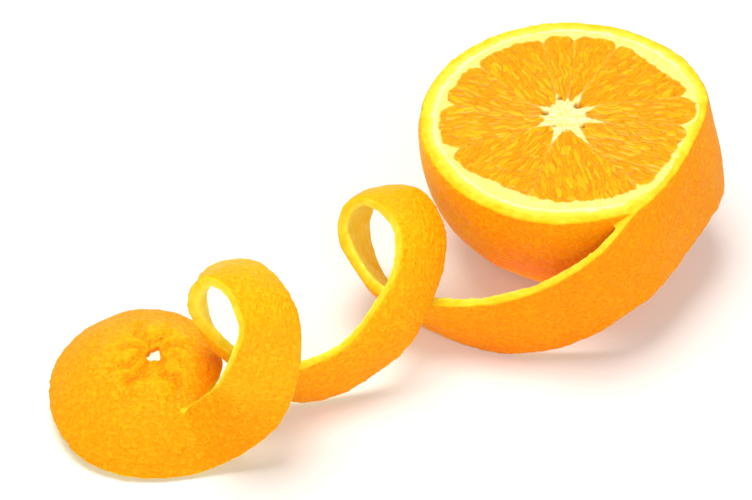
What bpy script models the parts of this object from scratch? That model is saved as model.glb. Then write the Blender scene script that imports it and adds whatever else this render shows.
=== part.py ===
"""Half an orange with its peel still joined to it. The peel runs on from the rind at the half's
right flank as one strip, makes two standing curls, and ends in the round cap cut from the stem end.

Everything is worked out in millimetres and scaled to metres on the way into a mesh. +Z is up, the
table is z = 0, -Y is the side with the curls, and the origin is the middle of the footprint.
"""

import math

import bmesh
import bpy
import numpy as np
from mathutils import Matrix, Vector

MM = 0.001

# The fruit, and the half that stands on the table.
FRUIT_RADIUS = 40.0
RIND_THICKNESS = 5.0
HALF_CENTRE = Vector((46.3, 25.4, 39.4))  # the whole fruit's centre: it sinks 0.6 into the table
CUT_ABOVE_CENTRE = 6.0
CUT_LEANS_LEFT = 3.0  # degrees
CUT_LEANS_FORWARD = 3.2  # degrees
FLESH_GAP = 0.3
BALL_SEGMENTS = 48
BALL_RINGS = 24

# The strip of peel.
PEEL_THICKNESS = 3.0
STRIP_BOW = 1.2  # how far the middle of the strip's width stands out, kept from the round fruit
STRIP_ROWS = 4
STEPS_PER_STATION = 4
# Where the middle of the strip passes (x, y, z), and which way its width points there, from the
# edge nearer the stem to the edge nearer the middle of the fruit: a heading from +X and a dip.
STRIP_STATIONS = (
    ((58, 61, 38), (252, -86)),  # in the rind of the half, at its back
    ((75, 52, 37), (43, -87)),
    ((85, 34, 36), (-25, -76)),
    ((84, 19, 36.5), (-5, -70)),
    ((73, -2, 34), (8, -69)),  # leaves the rim of the cut
    ((57.5, -19.5, 27.5), (20, -60)),
    ((39, -21, 15), (20, -76)),  # lower edge down on the table
    ((21, -19, 10), (60, -75)),
    ((4, -12, 9), (75, -55)),
    ((-6, -5, 13), (80, -40)),  # rises into the right curl
    ((-12, 3, 24), (70, -30)),
    ((-9, 6, 34), (60, -25)),
    ((0, 2, 39), (35, -20)),  # top of the right curl
    ((7, -9, 37), (30, -35)),
    ((6, -21, 30), (40, -40)),
    ((-3, -32, 18), (30, -40)),
    ((-19, -39, 10), (70, -75)),  # down on the table again
    ((-33, -41, 13), (90, -60)),
    ((-45, -39, 23), (115, -25)),  # rises into the left curl, over the edge of the cap
    ((-50, -36, 34), (95, 0)),
    ((-47, -36, 44), (60, -5)),
    ((-40, -39, 50), (45, -20)),  # top of the left curl, the highest place
    ((-33, -46, 49), (40, -30)),
    ((-30, -53, 42), (40, -30)),
    ((-33, -58, 30), (20, -20)),
    ((-39, -57, 16), (-25, -25)),  # comes down onto the front of the cap
)
# The strip's width at these stations, in even steps between them.
STRIP_WIDTHS = ((0, 26.0), (2, 27.0), (4.5, 27.0), (6, 23.5), (10, 19.0), (17, 18.0), (24, 20.5), (26, 17.0))

# The cap from the stem end: a round dome with the crescent that goes on from the strip.
CAP_TOP = Vector((-62, -35, 17))
CAP_RADIUS = 41.0
CAP_LEAN = 3.0  # degrees, toward CAP_LEAN_HEADING
CAP_LEAN_HEADING = -65.0
STEM_HOLE_RADIUS = 2.3
STEM_DIMPLE_DEPTH = 1.0
STEM_DIMPLE_REACH = 6.0
RING_ARC = 18.5  # from the stem to the cut that parts the strip, along the skin
SLIT_AZIMUTH = -62.0  # where that cut ends
TURN_STEP = 10  # degrees
# From the stem to the outer edge, along the skin, at every eighth of a turn clockwise from the slit.
EDGE_ARCS = (35.5, 34.5, 31.5, 29.0, 25.5, 21.0, RING_ARC)
EIGHTH = 45
RING_ROWS = 4
RING_SPREAD = 1.2  # above 1, the rows lie closer together at the stem
STATION_TURN = 34  # degrees round the cap that are as long as one step between stations
EASED_STATIONS = 1.8  # how far to either side of the slit's end the bend onto the cap is eased
EASED_SAMPLES = 4  # places to either side that are averaged, the nearest counting most

# Cutters.
KNIFE_DISC_HEIGHT = 40.0
KNIFE_DISC_RADIUS = FRUIT_RADIUS + 3
PARED_FROM = 1.0  # station where the strip starts to lie deeper than the skin of the half
PARED_TO = 5.0
PARED_ABOVE_UNTIL = 4.4  # up to here nothing of the rind stands above the strip
PARED_ABOVE = 9.0
PARED_ABOVE_AFTER = 0.3
PARED_UNDER = 1.0  # how far under the strip's skin the rind of the half is pared away
PARED_OUTWARD = 12.0
TABLE_BLOCK = 400.0

SKIN_COLOUR = (1.0, 0.43, 0.008, 1.0)
FLESH_COLOUR = (1.0, 0.46, 0.012, 1.0)
SKIN_ROUGHNESS = 0.42
FLESH_ROUGHNESS = 0.3
SHARP_BEND = 40.0  # degrees


def clear_scene():
    for thing in list(bpy.data.objects):
        bpy.data.objects.remove(thing, do_unlink=True)


def new_collection(name):
    collection = bpy.data.collections.new(name)
    bpy.context.scene.collection.children.link(collection)
    return collection


def new_material(name, colour, roughness):
    material = bpy.data.materials.new(name)
    material.use_nodes = True
    shader = material.node_tree.nodes["Principled BSDF"]
    shader.inputs["Base Color"].default_value = colour
    shader.inputs["Roughness"].default_value = roughness
    shader.inputs["Metallic"].default_value = 0.0
    return material


def new_object(name, mesh_builder, collection):
    """An object whose mesh holds the faces of a bmesh worked out in millimetres."""
    bmesh.ops.scale(mesh_builder, vec=(MM, MM, MM), verts=mesh_builder.verts)
    mesh = bpy.data.meshes.new(name)
    mesh_builder.to_mesh(mesh)
    mesh_builder.free()
    thing = bpy.data.objects.new(name, mesh)
    collection.objects.link(thing)
    return thing


def hide(cutter):
    cutter.hide_render = True
    cutter.display_type = "WIRE"


# ---------------------------------------------------------------- curves and directions


def smooth_path(values, t):
    """The value at t on a smooth curve that passes through values at t = 0, 1, 2 and so on."""
    values = np.asarray(values, float)
    last = len(values) - 1
    ends = np.concatenate(([2 * values[0] - values[1]], values, [2 * values[last] - values[last - 1]]))
    i = min(max(int(math.floor(t)), 0), last - 1)
    u = t - i
    before, start, end, after = ends[i : i + 4]
    return 0.5 * (
        2 * start
        + (end - before) * u
        + (2 * before - 5 * start + 4 * end - after) * u**2
        + (3 * start - before - 3 * end + after) * u**3
    )


def direction(heading, dip):
    heading, dip = math.radians(heading), math.radians(dip)
    return Vector((math.cos(dip) * math.cos(heading), math.cos(dip) * math.sin(heading), math.sin(dip)))


def ease(t):
    t = min(max(t, 0.0), 1.0)
    return t * t * (3 - 2 * t)


# ---------------------------------------------------------------- the cap


def cap_frame():
    """The turn that leans the cap."""
    heading = math.radians(CAP_LEAN_HEADING)
    axis = Vector((-math.sin(heading), math.cos(heading), 0))
    return Matrix.Rotation(math.radians(CAP_LEAN), 3, axis)


def cap_point(azimuth, arc):
    """The skin of the cap at this bearing from the stem and this far from it along the skin."""
    turn = math.radians(azimuth)
    angle = arc / CAP_RADIUS
    out = CAP_RADIUS * math.sin(angle)
    dimple = STEM_DIMPLE_DEPTH * math.exp(-((arc / STEM_DIMPLE_REACH) ** 2))
    down = CAP_RADIUS * (1 - math.cos(angle)) + dimple
    place = Vector((out * math.cos(turn), out * math.sin(turn), -down))
    return CAP_TOP + cap_frame() @ place


def edge_arc(turn):
    """The cap's outer edge, this many degrees clockwise from the slit."""
    return float(smooth_path(EDGE_ARCS, turn / EIGHTH))


def crescent_point(turn, row):
    arc = RING_ARC + (max(edge_arc(turn), RING_ARC) - RING_ARC) * row / STRIP_ROWS
    return cap_point(SLIT_AZIMUTH - turn, arc)


def ring_point(turn, row):
    arc = STEM_HOLE_RADIUS + (RING_ARC - STEM_HOLE_RADIUS) * (row / RING_ROWS) ** RING_SPREAD
    return cap_point(SLIT_AZIMUTH - turn, arc)


# ---------------------------------------------------------------- the strip


def last_station():
    """The strip's last station is the crescent's first line, out from the end of the slit."""
    inner, outer = crescent_point(0, 0), crescent_point(0, STRIP_ROWS)
    return (inner + outer) / 2, (outer - inner).normalized()


def lead_out():
    """A station further round the cap, so that the strip's curve runs on into it."""
    inner, outer = crescent_point(STATION_TURN, 0), crescent_point(STATION_TURN, STRIP_ROWS)
    return (inner + outer) / 2, (outer - inner).normalized()


def strip_tables():
    ends = (last_station(), lead_out())
    centres = [Vector(place) for place, _ in STRIP_STATIONS] + [centre for centre, _ in ends]
    widths = [direction(*aim) for _, aim in STRIP_STATIONS] + [across for _, across in ends]
    return np.array(centres), np.array(widths)


LAST = len(STRIP_STATIONS)
CENTRES, ACROSS = strip_tables()


def strip_frame(t):
    """The strip's middle, the way across it, the way out of its skin, and its width at station t."""
    centre = Vector(smooth_path(CENTRES, t))
    nudge = 0.01
    along = Vector(smooth_path(CENTRES, t + nudge)) - Vector(smooth_path(CENTRES, t - nudge))
    along.normalize()
    across = Vector(smooth_path(ACROSS, t))
    across = (across - across.dot(along) * along).normalized()
    width = float(np.interp(t, [s for s, _ in STRIP_WIDTHS], [w for _, w in STRIP_WIDTHS]))
    return centre, across, along.cross(across), width


def sharp_point(t, row):
    """The skin at station t: the strip's up to the last station, then the crescent's."""
    if t >= LAST:
        return crescent_point((t - LAST) * STATION_TURN, row)
    centre, across, outward, width = strip_frame(t)
    side = 2 * row / STRIP_ROWS - 1
    place = centre + across * side * width / 2 + outward * STRIP_BOW * (1 - side * side)
    return place.lerp(crescent_point(0, row), ease(t - (LAST - 1)))


def strip_point(t, row):
    """The skin at station t, in rows from the stem side's edge, with the bend at the cap eased."""
    sharp = sharp_point(t, row)
    near = ease(1 - abs(t - LAST) / EASED_STATIONS)
    inner = 1 if t < LAST - 1 else row / STRIP_ROWS + (1 - row / STRIP_ROWS) * ease(LAST - t)
    if near == 0:
        return sharp
    reach = EASED_STATIONS / 2
    steps = range(-EASED_SAMPLES, EASED_SAMPLES + 1)
    weights = [EASED_SAMPLES + 1 - abs(k) for k in steps]
    places = [sharp_point(t + reach * k / EASED_SAMPLES, row) * weight for k, weight in zip(steps, weights)]
    eased = sum(places, Vector((0, 0, 0))) / sum(weights)
    return sharp.lerp(eased, near * inner)


# ---------------------------------------------------------------- surfaces


def add_surface(mesh_builder, columns, rows, point):
    """A sheet of quads, its corners at point(column, row)."""
    grid = bmesh.ops.create_grid(mesh_builder, x_segments=columns, y_segments=rows, size=1)
    for corner in grid["verts"]:
        column = round((corner.co.x + 1) / 2 * columns)
        row = round((corner.co.y + 1) / 2 * rows)
        corner.co = point(column, row)


def peel_skin():
    """The strip and the cap as one open skin: ring, crescent and strip share their corners."""
    skin = bmesh.new()
    turns = 360 // TURN_STEP
    crescent = (len(EDGE_ARCS) - 1) * EIGHTH // TURN_STEP
    steps = LAST * STEPS_PER_STATION
    add_surface(skin, turns, RING_ROWS, lambda i, j: ring_point(i * TURN_STEP % 360, j))
    add_surface(skin, crescent, STRIP_ROWS, lambda i, j: strip_point(LAST + i * TURN_STEP / STATION_TURN, j))
    add_surface(skin, steps, STRIP_ROWS, lambda i, j: strip_point(i / STEPS_PER_STATION, j))
    bmesh.ops.remove_doubles(skin, verts=skin.verts, dist=0.001)
    return skin


def offset_sheet(t_from, t_to, inward, outward, above):
    """A closed block that follows the strip's skin, from inward under it to outward over it.

    above(t) is how far its upper edge is carried straight up."""
    block = bmesh.new()
    columns = round((t_to - t_from) * STEPS_PER_STATION)

    def place(column, row, lift):
        t = t_from + (t_to - t_from) * column / columns
        _, _, normal, _ = strip_frame(t)
        raised = Vector((0, 0, above(t) if row == 0 else 0))
        return strip_point(t, max(row - 1, 0)) + raised + normal * lift

    rows = STRIP_ROWS + 1
    for lift in (-inward, outward):
        add_surface(block, columns, rows, lambda i, j, lift=lift: place(i, j, lift))
    rim = [edge for edge in block.edges if edge.is_boundary]
    bmesh.ops.bridge_loops(block, edges=rim)
    bmesh.ops.recalc_face_normals(block, faces=block.faces)
    return block


def ball(radius, name, collection):
    mesh_builder = bmesh.new()
    bmesh.ops.create_uvsphere(
        mesh_builder, u_segments=BALL_SEGMENTS, v_segments=BALL_RINGS, radius=radius
    )
    bmesh.ops.translate(mesh_builder, vec=HALF_CENTRE, verts=mesh_builder.verts)
    return new_object(name, mesh_builder, collection)


def add_boolean(thing, operation, other):
    modifier = thing.modifiers.new(other.name, "BOOLEAN")
    modifier.operation = operation
    modifier.object = other
    modifier.solver = "EXACT"


# ---------------------------------------------------------------- cutters


def top_cutter(collection):
    """What the knife took off: a disc over the tilted cut, only as wide as the half."""
    disc = bmesh.new()
    bmesh.ops.create_cone(
        disc,
        cap_ends=True,
        segments=BALL_SEGMENTS,
        radius1=KNIFE_DISC_RADIUS,
        radius2=KNIFE_DISC_RADIUS,
        depth=KNIFE_DISC_HEIGHT,
    )
    lift = Matrix.Translation((0, 0, CUT_ABOVE_CENTRE + KNIFE_DISC_HEIGHT / 2))
    forward = Matrix.Rotation(math.radians(CUT_LEANS_FORWARD), 4, "X")
    left = Matrix.Rotation(math.radians(-CUT_LEANS_LEFT), 4, "Y")
    place = Matrix.Translation(HALF_CENTRE) @ left @ forward @ lift
    bmesh.ops.transform(disc, matrix=place, verts=disc.verts)
    cutter = new_object("knife_cut", disc, collection)
    hide(cutter)
    return cutter


def table_cutter(collection):
    block = bmesh.new()
    bmesh.ops.create_cube(block, size=TABLE_BLOCK)
    bmesh.ops.translate(block, vec=(0, 0, -TABLE_BLOCK / 2), verts=block.verts)
    cutter = new_object("table_level", block, collection)
    hide(cutter)
    return cutter


def above_strip(t):
    return PARED_ABOVE if t < PARED_ABOVE_UNTIL else PARED_ABOVE_AFTER


def pared_cutter(name, t_from, inward, collection):
    """What lies outside the strip, where the strip has been pared from the half's flank."""
    block = offset_sheet(t_from, PARED_TO, inward, PARED_OUTWARD, above_strip)
    cutter = new_object(name, block, collection)
    hide(cutter)
    return cutter


# ---------------------------------------------------------------- the two pieces


def build_peel(parts, cutters, knife, table):
    hollow = ball(FRUIT_RADIUS - RIND_THICKNESS, "hollow", cutters)
    hide(hollow)
    strip = new_object("strip_and_cap", peel_skin(), cutters)
    hide(strip)
    shell = strip.modifiers.new("thickness", "SOLIDIFY")
    shell.thickness = PEEL_THICKNESS * MM
    shell.offset = -1.0
    shell.use_rim = True
    add_boolean(strip, "DIFFERENCE", knife)
    peel = ball(FRUIT_RADIUS, "peel", parts)
    add_boolean(peel, "DIFFERENCE", knife)
    add_boolean(peel, "DIFFERENCE", hollow)
    add_boolean(peel, "DIFFERENCE", pared_cutter("pared_rind", PARED_FROM, PARED_UNDER, cutters))
    add_boolean(peel, "UNION", strip)
    add_boolean(peel, "DIFFERENCE", table)
    return peel


def build_flesh(parts, cutters, knife):
    flesh = ball(FRUIT_RADIUS - RIND_THICKNESS - FLESH_GAP, "flesh", parts)
    add_boolean(flesh, "DIFFERENCE", knife)
    pared = pared_cutter("pared_flesh", 0, PEEL_THICKNESS + 3 * FLESH_GAP, cutters)
    add_boolean(flesh, "DIFFERENCE", pared)
    return flesh


def finish(thing, material):
    thing.data.materials.append(material)
    thing.data.shade_smooth()
    thing.data.set_sharp_from_angle(angle=math.radians(SHARP_BEND))


def main():
    clear_scene()
    parts = new_collection("orange_peel")
    cutters = new_collection("cutters")
    knife = top_cutter(cutters)
    table = table_cutter(cutters)
    finish(build_peel(parts, cutters, knife, table), new_material("orange_rind", SKIN_COLOUR, SKIN_ROUGHNESS))
    finish(build_flesh(parts, cutters, knife), new_material("orange_flesh", FLESH_COLOUR, FLESH_ROUGHNESS))


main()
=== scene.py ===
# %% [markdown]
# # Half an orange with its peel pulled away in a spiral
#
# The object is one half of an orange that stands cut side up. Its peel was cut as one strip, from
# the stem end round and round to the half, and it is still joined to the half at the right.
# The strip makes two standing curls and ends in the round cap that held the stem.
#
# The solids are already there, so this script gives them their looks: a leathery skin with creases
# round the stem, the bright zest and pale pith at each cut, and the wet pulp with its segments.

# %% Load the solids and note their box
import math

import bmesh
import bpy
from mathutils import Matrix, Vector, noise
from mathutils.bvhtree import BVHTree


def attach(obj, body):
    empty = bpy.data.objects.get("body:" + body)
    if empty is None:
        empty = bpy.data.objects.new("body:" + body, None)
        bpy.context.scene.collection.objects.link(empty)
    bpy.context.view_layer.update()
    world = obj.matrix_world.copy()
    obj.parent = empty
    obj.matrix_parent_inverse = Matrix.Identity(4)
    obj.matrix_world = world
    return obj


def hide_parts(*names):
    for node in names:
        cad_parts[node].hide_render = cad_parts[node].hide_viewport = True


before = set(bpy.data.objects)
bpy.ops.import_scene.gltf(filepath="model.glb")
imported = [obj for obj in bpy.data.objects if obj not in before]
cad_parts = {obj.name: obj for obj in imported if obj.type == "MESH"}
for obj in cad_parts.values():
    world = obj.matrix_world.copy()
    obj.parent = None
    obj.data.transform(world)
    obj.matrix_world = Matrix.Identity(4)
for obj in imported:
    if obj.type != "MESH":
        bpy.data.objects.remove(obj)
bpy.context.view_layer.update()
MM = 0.001

# %% [markdown]
# ## The fruit's own sizes
#
# A few sizes repeat through the script, so they are named once. The half is a ball of 40 mm radius
# that a slightly tilted knife cut 6 mm above its middle. The cap is a shallow dome. Each place is
# in millimetres, in the same frame as the solids.

# %% Sizes and places
HALF_CENTRE = Vector((46.3, 25.4, 39.4))
FRUIT_RADIUS = 40.0
RIND_THICKNESS = 5.0
CUT_ABOVE_CENTRE = 6.0
CUT_LEANS_LEFT = 3.0  # degrees
CUT_LEANS_FORWARD = 3.2  # degrees
PULP_RADIUS = FRUIT_RADIUS - RIND_THICKNESS + 0.3  # it reaches a little into the rind, grown onto it
CAP_TOP = Vector((-62, -35, 17))
STEM_HOLE_RADIUS = 2.3
CAP_DROP = 9.0  # the skin round the stem lies within this height of the cap's top
print("the half is", 2 * FRUIT_RADIUS, "mm across, and the pulp", 2 * PULP_RADIUS)

# %% [markdown]
# ## Camera, light and table
#
# A fruit on a white table is shot from above with a long lens, so that the near curl isn't
# swollen. A big soft lamp hangs overhead, a little to the left, and a white tent whose walls are
# brighter than its top fills the shadows. The table glows a little, which keeps them pale and warm.

# %% Camera
CAMERA_TARGET = Vector((-5, 23, 0))
CAMERA_ELEVATION = 42.0  # degrees
CAMERA_DISTANCE = 700.0
CAMERA_LENS = 121.2


def add_camera():
    lens = bpy.data.cameras.new("camera")
    lens.lens = CAMERA_LENS
    lens.clip_start = 0.01
    camera = bpy.data.objects.new("camera", lens)
    bpy.context.scene.collection.objects.link(camera)
    tilt = math.radians(CAMERA_ELEVATION)
    back = Vector((0, -math.cos(tilt), math.sin(tilt)))
    camera.location = (CAMERA_TARGET + back * CAMERA_DISTANCE) * MM
    camera.rotation_euler = (math.pi / 2 - tilt, 0, 0)
    bpy.context.scene.camera = camera
    return camera


camera = add_camera()
print("camera stands at", [round(c, 3) for c in camera.location])

# %% [markdown]
# Colours are written as the hex values a painter would pick, and one function turns them into the
# linear numbers that the shaders need. Another adds a shader node with its settings and links, so
# that each material reads as a short list. The stops of a colour ramp count as one of its settings.


# %% Colour and node helpers
def linear(hex_colour, alpha=1.0):
    """The linear colour of an sRGB hex value."""
    channels = [int(hex_colour[i : i + 2], 16) / 255 for i in (1, 3, 5)]
    curve = [c / 12.92 if c <= 0.04045 else ((c + 0.055) / 1.055) ** 2.4 for c in channels]
    return (*curve, alpha)


def set_stops(ramp, stops):
    """Gives a colour ramp its (place, hex colour) stops."""
    while len(ramp.elements) < len(stops):
        ramp.elements.new(0.5)
    for element, (place, hex_colour) in zip(ramp.elements, stops):
        element.position = place
        element.color = linear(hex_colour)


def add_node(material, kind, settings=None, **inputs):
    """A node of this kind. A value that is a socket is linked, and any other is set."""
    node = material.node_tree.nodes.new(kind)
    for name, value in (settings or {}).items():
        if name == "stops":
            set_stops(node.color_ramp, value)
        else:
            setattr(node, name, value)
    for name, value in inputs.items():
        key = int(name[1:]) if name[1:].isdigit() else name.replace("_", " ")
        if isinstance(value, bpy.types.NodeSocket):
            material.node_tree.links.new(value, node.inputs[key])
        else:
            node.inputs[key].default_value = value
    return node


def new_material(name):
    """An empty node material and its Principled shader."""
    material = bpy.data.materials.new(name)
    material.use_nodes = True
    return material, material.node_tree.nodes["Principled BSDF"]


def link(material, output, shader, name):
    material.node_tree.links.new(output, shader.inputs[name])


print("orange in linear numbers:", [round(c, 3) for c in linear("#FFA500")])


# %% Table
TABLE_REACH = 3.0  # metres from the middle to each edge
TABLE_WHITE = "#E8E2DC"
TABLE_GLOW = 0.1


def add_table():
    builder = bmesh.new()
    bmesh.ops.create_grid(builder, x_segments=1, y_segments=1, size=TABLE_REACH)
    mesh = bpy.data.meshes.new("table")
    builder.to_mesh(mesh)
    builder.free()
    table = bpy.data.objects.new("table", mesh)
    bpy.context.scene.collection.objects.link(table)
    material, shader = new_material("white_acrylic_table")
    shader.inputs["Base Color"].default_value = linear(TABLE_WHITE)
    shader.inputs["Roughness"].default_value = 0.6
    shader.inputs["Emission Color"].default_value = linear("#FFFFFF")
    shader.inputs["Emission Strength"].default_value = TABLE_GLOW
    mesh.materials.append(material)
    return table


table = add_table()
print("table material:", table.data.materials[0].name)


# %% Lamps and tent
def add_lamp(name, place, aim, size, power):
    lamp = bpy.data.lights.new(name, "AREA")
    lamp.shape = "DISK"
    lamp.size = size
    lamp.energy = power
    thing = bpy.data.objects.new(name, lamp)
    bpy.context.scene.collection.objects.link(thing)
    thing.location = place
    thing.rotation_euler = (Vector(aim) - Vector(place)).to_track_quat("-Z", "Y").to_euler()
    return thing


def add_tent(top, walls):
    """White light from all round: this strong overhead, and stronger toward the walls."""
    world = bpy.data.worlds.new("white_tent")
    world.use_nodes = True
    background = world.node_tree.nodes["Background"]
    background.inputs["Color"].default_value = (1.0, 1.0, 1.0, 1.0)
    aim = add_node(world, "ShaderNodeTexCoord").outputs["Generated"]
    upward = add_node(world, "ShaderNodeSeparateXYZ", Vector=aim).outputs["Z"]
    sideways = add_node(
        world, "ShaderNodeMath", {"operation": "SUBTRACT"}, _0=1.0, _1=upward
    ).outputs["Value"]
    near_walls = add_node(
        world, "ShaderNodeMath", {"operation": "POWER"}, _0=sideways, _1=2.0
    ).outputs["Value"]
    strength = add_node(
        world, "ShaderNodeMath", {"operation": "MULTIPLY_ADD"}, _0=near_walls, _1=walls - top, _2=top
    ).outputs["Value"]
    link(world, strength, background, "Strength")
    bpy.context.scene.world = world


# The lamps belong to the room, so their places and sizes are in metres, and their powers in watts.
add_tent(top=0.25, walls=1.35)
add_lamp("soft_lamp_overhead", (-0.15, 0.1, 1.15), (0, 0, 0.02), size=0.7, power=11.8)
add_lamp("soft_lamp_front", (0.15, -0.95, 0.75), (0, 0, 0.02), size=0.6, power=4.3)
# A small lamp inside the cap lights the table there, so that the stem hole shows white.
add_lamp("lamp_in_cap", (-0.058, -0.03, 0.01), (-0.0635, -0.018, 0), size=0.005, power=0.003)
# A small card on the table throws light up onto the belly of the half, which stands in its own shade.
add_lamp("card_under_half", (0.033, -0.008, 0.001), (0.052, 0.02, 0.03), size=0.02, power=0.0024)
bpy.context.scene.view_settings.view_transform = "Standard"

# %% [markdown]
# ## The peel as one fine mesh
#
# Rind, strip and cap are one piece on the fruit. Its solid is right in shape but has flat facets and
# knife-sharp corners. Subdividing it would keep the seams where its parts were joined. A voxel remesh
# covers the whole piece with one even net instead, and a few rounds of smoothing then melt the facets
# away and round the cut edges, as the soft rind does. In the narrow corners the net bridges over, so
# its points there go back onto the solid. The net is then thinned where it is nearly flat, which
# leaves its points for the edges.
#
# Before that, the skin side is found. It starts at the foot of the half and spreads over every edge
# that bends gently, so it covers the half, the strip and the cap and stops at each cut.


# %% Find the skin side
SHARPEST_BEND = math.radians(42)
SAME_POINT = 0.002  # mm within which two corners are one


def merged_copy(node):
    """A bmesh of a solid with its loose triangles joined."""
    builder = bmesh.new()
    builder.from_mesh(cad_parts[node].data)
    bmesh.ops.remove_doubles(builder, verts=builder.verts, dist=SAME_POINT * MM)
    bmesh.ops.dissolve_degenerate(builder, edges=builder.edges, dist=SAME_POINT * MM)
    builder.faces.ensure_lookup_table()
    builder.normal_update()
    return builder


def skin_faces(builder, start):
    """The faces that can be reached from the one nearest start without crossing a sharp bend."""
    first = min(builder.faces, key=lambda face: (face.calc_center_median() - start).length)
    reached = {first.index}
    waiting = [first]
    while waiting:
        face = waiting.pop()
        for edge in face.edges:
            for other in edge.link_faces:
                gentle = face.normal.angle(other.normal, math.pi) < SHARPEST_BEND
                if other.index not in reached and gentle:
                    reached.add(other.index)
                    waiting.append(other)
    return reached


peel_solid = merged_copy("peel")
foot = Vector((HALF_CENTRE.x, HALF_CENTRE.y, 0)) * MM
skin = skin_faces(peel_solid, foot)
print("skin faces:", len(skin), "of", len(peel_solid.faces))

# %% Remesh and smooth the peel
NET_SIZE = 0.5  # mm, fine enough to keep the strip apart from the half where they lie close
SMOOTHING_ROUNDS = 5
MOST_TRIANGLES = 190_000
SMALLEST_BRIDGE = 0.08  # mm that a point may stand off the solid


def new_piece(name, mesh):
    piece = bpy.data.objects.new(name, mesh)
    bpy.context.scene.collection.objects.link(piece)
    return piece


def evaluated_mesh(thing):
    """The mesh of an object with its modifiers applied."""
    graph = bpy.context.evaluated_depsgraph_get()
    return bpy.data.meshes.new_from_object(thing.evaluated_get(graph))


def modified(builder, kind, **settings):
    """A new bmesh: this one after one modifier."""
    rough = new_piece("rough", bpy.data.meshes.new("rough"))
    builder.to_mesh(rough.data)
    modifier = rough.modifiers.new("step", kind)
    for name, value in settings.items():
        setattr(modifier, name, value)
    result = bmesh.new()
    result.from_mesh(evaluated_mesh(rough))
    bpy.data.objects.remove(rough)
    return result


def smooth(builder, rounds, factor=0.5):
    for _ in range(rounds):
        bmesh.ops.smooth_vert(
            builder, verts=builder.verts, factor=factor, use_axis_x=True, use_axis_y=True, use_axis_z=True
        )


def back_onto(net, solid):
    """Puts each point that stands off the solid back onto it, and returns how many did."""
    whole_tree = BVHTree.FromBMesh(solid)
    moved = 0
    for vert in net.verts:
        spot, outward, _, away = whole_tree.find_nearest(vert.co)
        if (vert.co - spot).dot(outward) > 0 and away > SMALLEST_BRIDGE * MM:
            vert.co = spot
            moved += 1
    return moved


fine_net = modified(peel_solid, "REMESH", mode="VOXEL", voxel_size=NET_SIZE * MM)
smooth(fine_net, SMOOTHING_ROUNDS)
put_back = back_onto(fine_net, peel_solid)
fine_triangles = 2 * len(fine_net.faces)  # the remesh makes squares only
peel_net = modified(fine_net, "DECIMATE", ratio=MOST_TRIANGLES / fine_triangles)
fine_net.free()
thinned_triangles = sum(len(face.verts) - 2 for face in peel_net.faces)
print("points put back onto the solid:", put_back)
print("peel net:", fine_triangles, "triangles, thinned to", thinned_triangles)

# %% [markdown]
# ## How deep each point lies under the skin
#
# On a real peel the colour depends on the depth: waxy orange skin, then under a millimetre of bright
# yellow zest with the oil glands, then pale spongy pith. So every point of the net stores its
# distance to the skin side in millimetres, and the material turns that one number into layers.
# The cut edges, the inner side and the rim of the half then all come out right by themselves.


# %% Search trees over the solid
def nearest_of(builder, chosen):
    """A search tree over the chosen faces."""
    corners = [v.co.copy() for v in builder.verts]
    faces = [[v.index for v in builder.faces[i].verts] for i in sorted(chosen)]
    return BVHTree.FromPolygons(corners, faces)


peel_solid.verts.index_update()
skin_tree = nearest_of(peel_solid, skin)
cut_tree = nearest_of(peel_solid, set(range(len(peel_solid.faces))) - skin)
print("faces of the cuts and the inner side:", len(peel_solid.faces) - len(skin))

# %% [markdown]
# Three places need more than the plain distance. A cut edge always shows a thin line of zest. In
# front of the half the knife ran slanted, so a wider band of zest shows beside the upper cut. And
# between the cap's middle and the strip the slit is so tight that only its line of zest can be seen.
# At the stem hole the skin rolls in over the edge, so there the depth fades out instead.

# %% Measure the depth
EDGE_SHOWN_DEPTH = 1.3  # mm, the depth whose colour a cut edge shows at least
EDGE_WIDTH = 0.35  # mm of zest beside any cut
SLANT_WIDTH = 1.0  # mm more of it beside a slanted cut
SLANT_STARTS = (10, 20)  # mm to the right, between which the slanted stretch sets in
SLANT_ENDS = (40, 56)  # and between which it ends
SLANT_RISES = (8, 12)  # mm above the table, as the lower cut isn't slanted
SLIT_RADIUS = 17.9  # mm from the stem, level
SLIT_FROM = -62.0  # bearings in degrees between which the slit is only a line
SLIT_TO = -25.0
SLIT_SETS_IN = 4.0  # degrees
SLIT_FADES_OUT = 25.0
SLIT_HALF_WIDTH = 0.7
SLIT_SHOWN_DEPTH = 1.5
FACES_UP = 0.3  # least upward part of the normal where the slit can show
HOLE_EDGE = (STEM_HOLE_RADIUS + 0.6, 3 * STEM_HOLE_RADIUS)  # mm from the stem, where the depth fades in


def fade(value, start, end):
    """0 at start and 1 at end, with a soft turn at both."""
    t = min(max((value - start) / (end - start), 0.0), 1.0)
    return t * t * (3 - 2 * t)


def from_stem(place):
    """How far a place lies from the stem, level, its bearing, and whether it is near the cap's top."""
    away = place - CAP_TOP
    return math.hypot(away.x, away.y), math.atan2(away.y, away.x), abs(away.z) <= CAP_DROP


def slanted_cut(place):
    """1 where the knife ran slanted, in front of the half and above the table."""
    return fade(place.x, *SLANT_STARTS) * (1 - fade(place.x, *SLANT_ENDS)) * fade(place.z, *SLANT_RISES)


def slit_share(place):
    """1 on the slit between the cap's middle and the strip, where it is only a line."""
    reach, turn, on_cap = from_stem(place)
    bearing = math.degrees(turn)
    begun = fade(bearing, SLIT_FROM - SLIT_SETS_IN, SLIT_FROM)
    ended = fade(bearing, SLIT_TO, SLIT_TO + SLIT_FADES_OUT)
    aside = reach - SLIT_RADIUS
    return begun * (1 - ended) * math.exp(-((aside / SLIT_HALF_WIDTH) ** 2)) if on_cap else 0.0


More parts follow.
